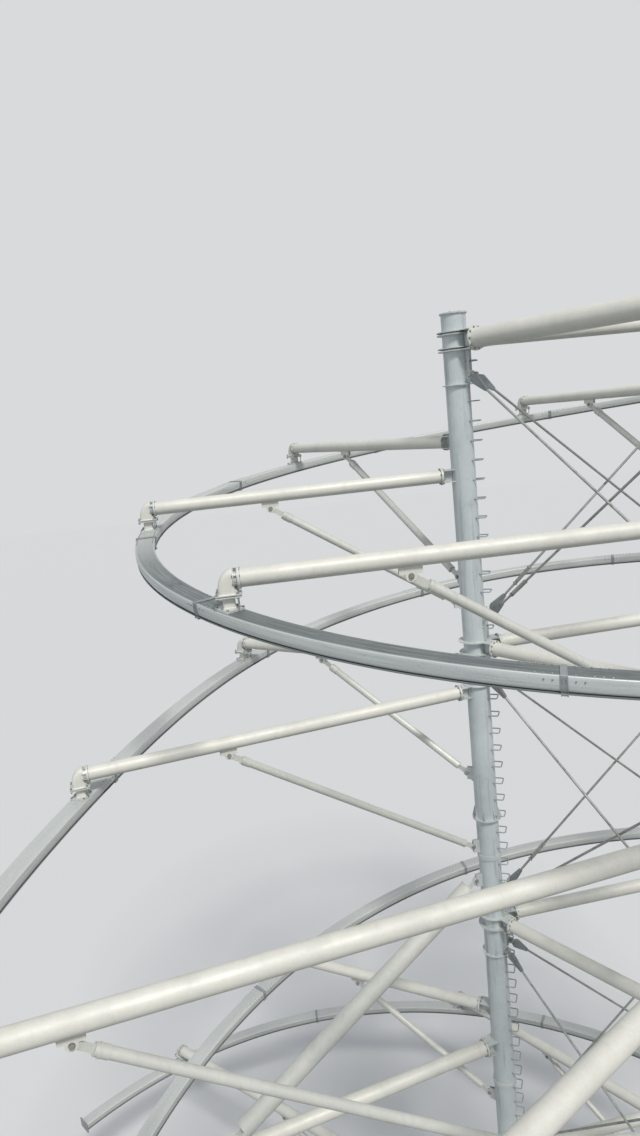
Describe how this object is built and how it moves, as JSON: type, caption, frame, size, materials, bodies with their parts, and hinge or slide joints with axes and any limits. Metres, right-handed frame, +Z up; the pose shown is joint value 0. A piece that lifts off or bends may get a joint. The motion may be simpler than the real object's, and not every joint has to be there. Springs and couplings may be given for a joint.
{
  "type": "spiral suspended rail ride tower",
  "caption": "Tubular steel lattice tower with cantilever arms that carry a box rail winding down round it, from which riders glide hanging.",
  "frame": {"origin": "centre of column 1's base plate, at its underside, on the ground", "axes": "+Z up along the columns; +X to the picture's right and +Y away from its viewer"},
  "size_m": [19.756, 17.2939, 20.23],
  "materials": {
    "column_zinc": "hot-dip galvanised steel tube, grey, with white zinc streaks and soft gloss",
    "tube_zinc": "hot-dip galvanised steel tube, pale and matt, with spangle and run marks",
    "bracket_zinc": "galvanised steel plate, welded, with whitish weld seams",
    "rod_steel": "dark weathered steel rod",
    "rail_steel": "grey coated steel, scuffed and streaked along its length",
    "band_zinc": "galvanised steel band, dull",
    "step_zinc": "galvanised round bar, dull"
  },
  "bodies": {
    "root": {"column_1": "column_zinc", "column_2": "column_zinc", "column_3": "column_zinc", "base_plates": "bracket_zinc", "column_caps": "bracket_zinc", "column_rings": "bracket_zinc", "joints_column_1": "bracket_zinc", "joints_column_2": "bracket_zinc", "joints_column_3": "bracket_zinc", "ring_beams_1": "tube_zinc", "ring_beams_2": "tube_zinc", "ring_beams_3": "tube_zinc", "ring_beams_4": "tube_zinc", "rods_face_1": "rod_steel", "rods_face_2": "rod_steel", "rods_face_3": "rod_steel", "brackets_column_1": "bracket_zinc", "brackets_column_2": "bracket_zinc", "brackets_column_3": "bracket_zinc", "arms_turn_1": "tube_zinc", "arms_turn_2": "tube_zinc", "arms_turn_3": "tube_zinc", "arms_turn_4": "tube_zinc", "struts_turn_1": "tube_zinc", "struts_turn_2": "tube_zinc", "struts_turn_3": "tube_zinc", "struts_turn_4": "tube_zinc", "hangers_turn_1": "tube_zinc", "hangers_turn_2": "tube_zinc", "hangers_turn_3": "tube_zinc", "hangers_turn_4": "tube_zinc", "rail_turn_1": "rail_steel", "rail_turn_2": "rail_steel", "rail_turn_3": "rail_steel", "rail_turn_4": "rail_steel", "splice_bands_1": "band_zinc", "splice_bands_2": "band_zinc", "splice_bands_3": "band_zinc", "splice_bands_4": "band_zinc", "rail_end_stops": "band_zinc", "step_irons": "step_zinc", "raker": "tube_zinc"}
  },
  "joints": []
}
